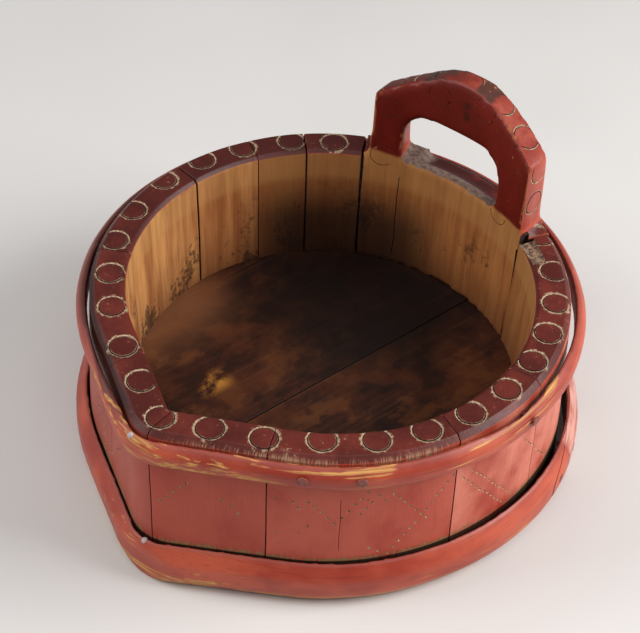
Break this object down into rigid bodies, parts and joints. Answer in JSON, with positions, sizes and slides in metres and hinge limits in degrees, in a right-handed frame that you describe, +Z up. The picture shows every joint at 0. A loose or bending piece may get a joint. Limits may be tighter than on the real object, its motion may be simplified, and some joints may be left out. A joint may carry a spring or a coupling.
{
  "type": "wooden milk bowl",
  "caption": "Low coopered milk bowl with a pouring corner, two bent hoops and one tall stave pierced as a handle, holding a flat board floor in a groove.",
  "frame": {"origin": "the middle of the foot: where the axis of the round wall meets the level on which the staves and the lower hoop stand", "axes": "+Z up, +Y from the axis to the handle, -Y to the pouring corner"},
  "size_m": [0.3262, 0.3417, 0.1945],
  "materials": {
    "handle_wood": "worn red-brown paint",
    "stave_wood": "worn red-brown paint outside, bare honey wood inside",
    "floor_wood": "bare, stained dark",
    "peg_wood": "bare",
    "hoop_wood": "worn red paint",
    "nail_iron": "dull forged iron"
  },
  "bodies": {
    "root": {"handle_stave": "handle_wood", "stave_01": "stave_wood", "stave_02": "stave_wood", "stave_03": "stave_wood", "stave_04": "stave_wood", "stave_05": "stave_wood", "stave_06": "stave_wood", "stave_07": "stave_wood", "stave_08": "stave_wood", "stave_09": "stave_wood", "stave_10": "stave_wood", "floor_board_left": "floor_wood", "floor_board_right": "floor_wood", "floor_pegs": "peg_wood", "upper_hoop": "hoop_wood", "lower_hoop": "hoop_wood", "upper_hoop_nails": "nail_iron", "lower_hoop_nails": "nail_iron"}
  },
  "joints": []
}
